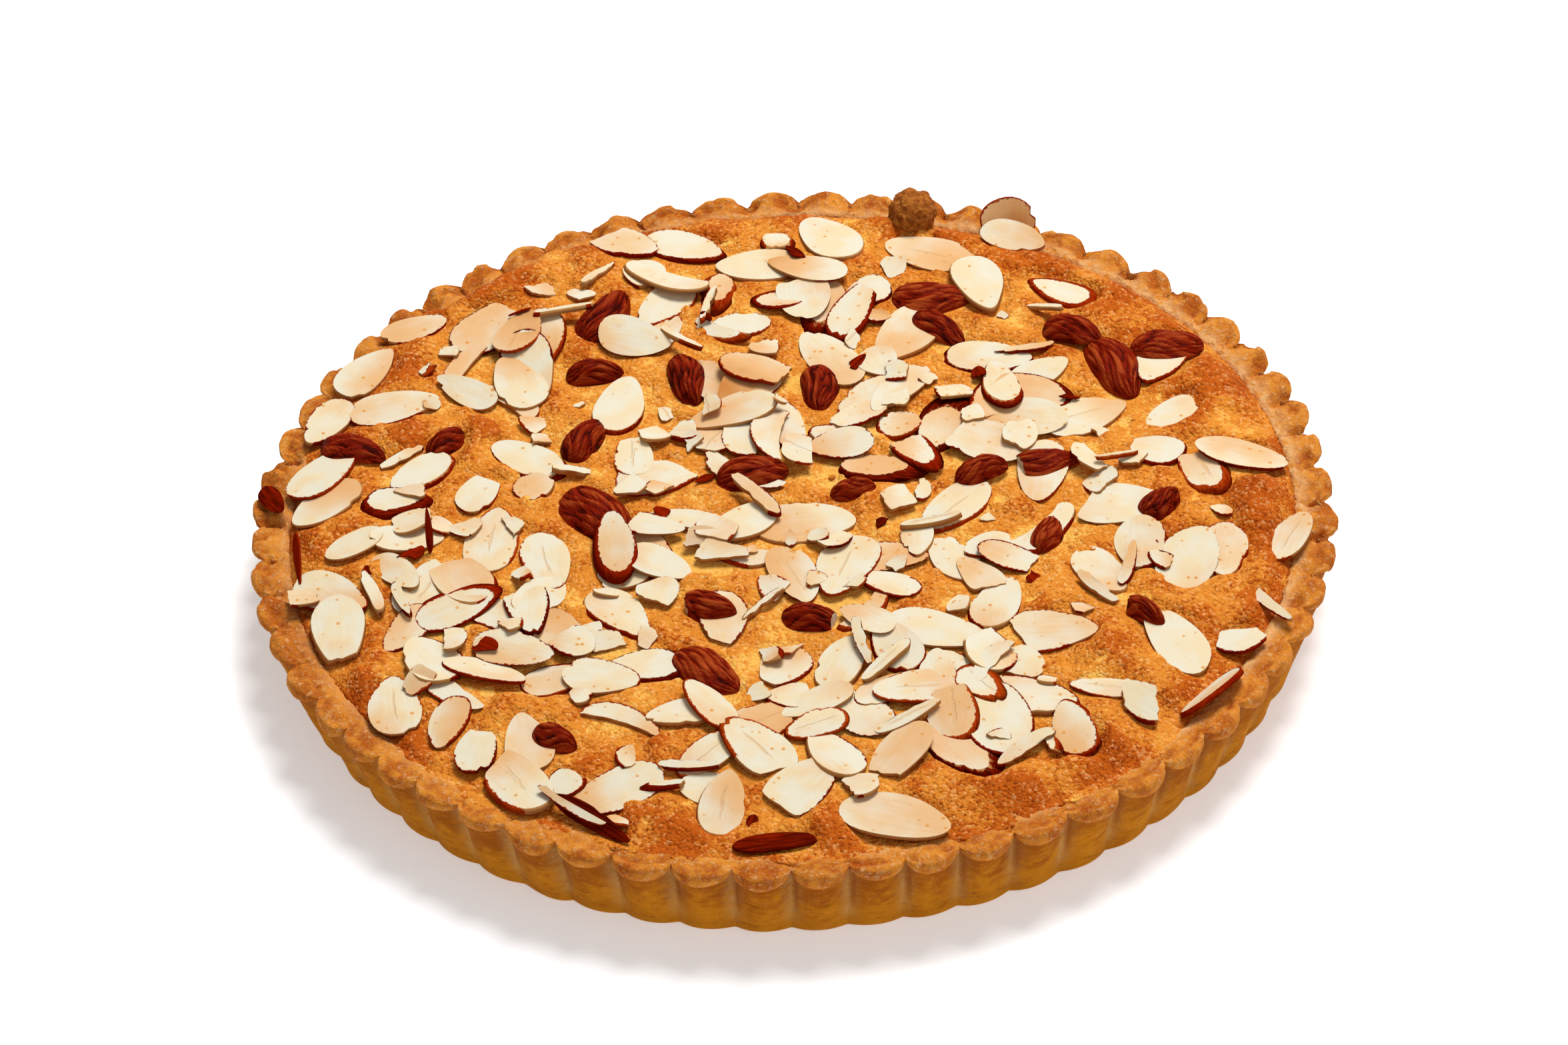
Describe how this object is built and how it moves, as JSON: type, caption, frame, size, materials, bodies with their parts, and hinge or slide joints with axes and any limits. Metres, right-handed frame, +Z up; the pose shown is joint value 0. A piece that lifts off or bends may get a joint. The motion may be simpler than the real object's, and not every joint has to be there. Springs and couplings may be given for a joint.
{
  "type": "almond tart",
  "caption": "Round baked tart: a fluted shortcrust case filled level with browned frangipane and strewn with toasted sliced almonds.",
  "frame": {"origin": "middle of the tart's underside, on the surface that it stands on", "axes": "+Z up out of the filling, -Y towards the front of the tart as it is shown"},
  "size_m": [0.25, 0.25, 0.0291],
  "materials": {
    "pastry": "baked shortcrust, golden brown on the rim and paler down the wall, dry and slightly crumbly",
    "frangipane": "baked almond filling with a sandy golden-brown skin, pale yellow in its hollows",
    "almond": "sliced almond, ivory with toasted patches and a thin red-brown skin at the edge",
    "almond_skin": "dark red-brown almond skin with lengthwise wrinkles, slight sheen"
  },
  "bodies": {
    "root": {"pastry_case": "pastry", "frangipane": "frangipane"}
  },
  "joints": []
}
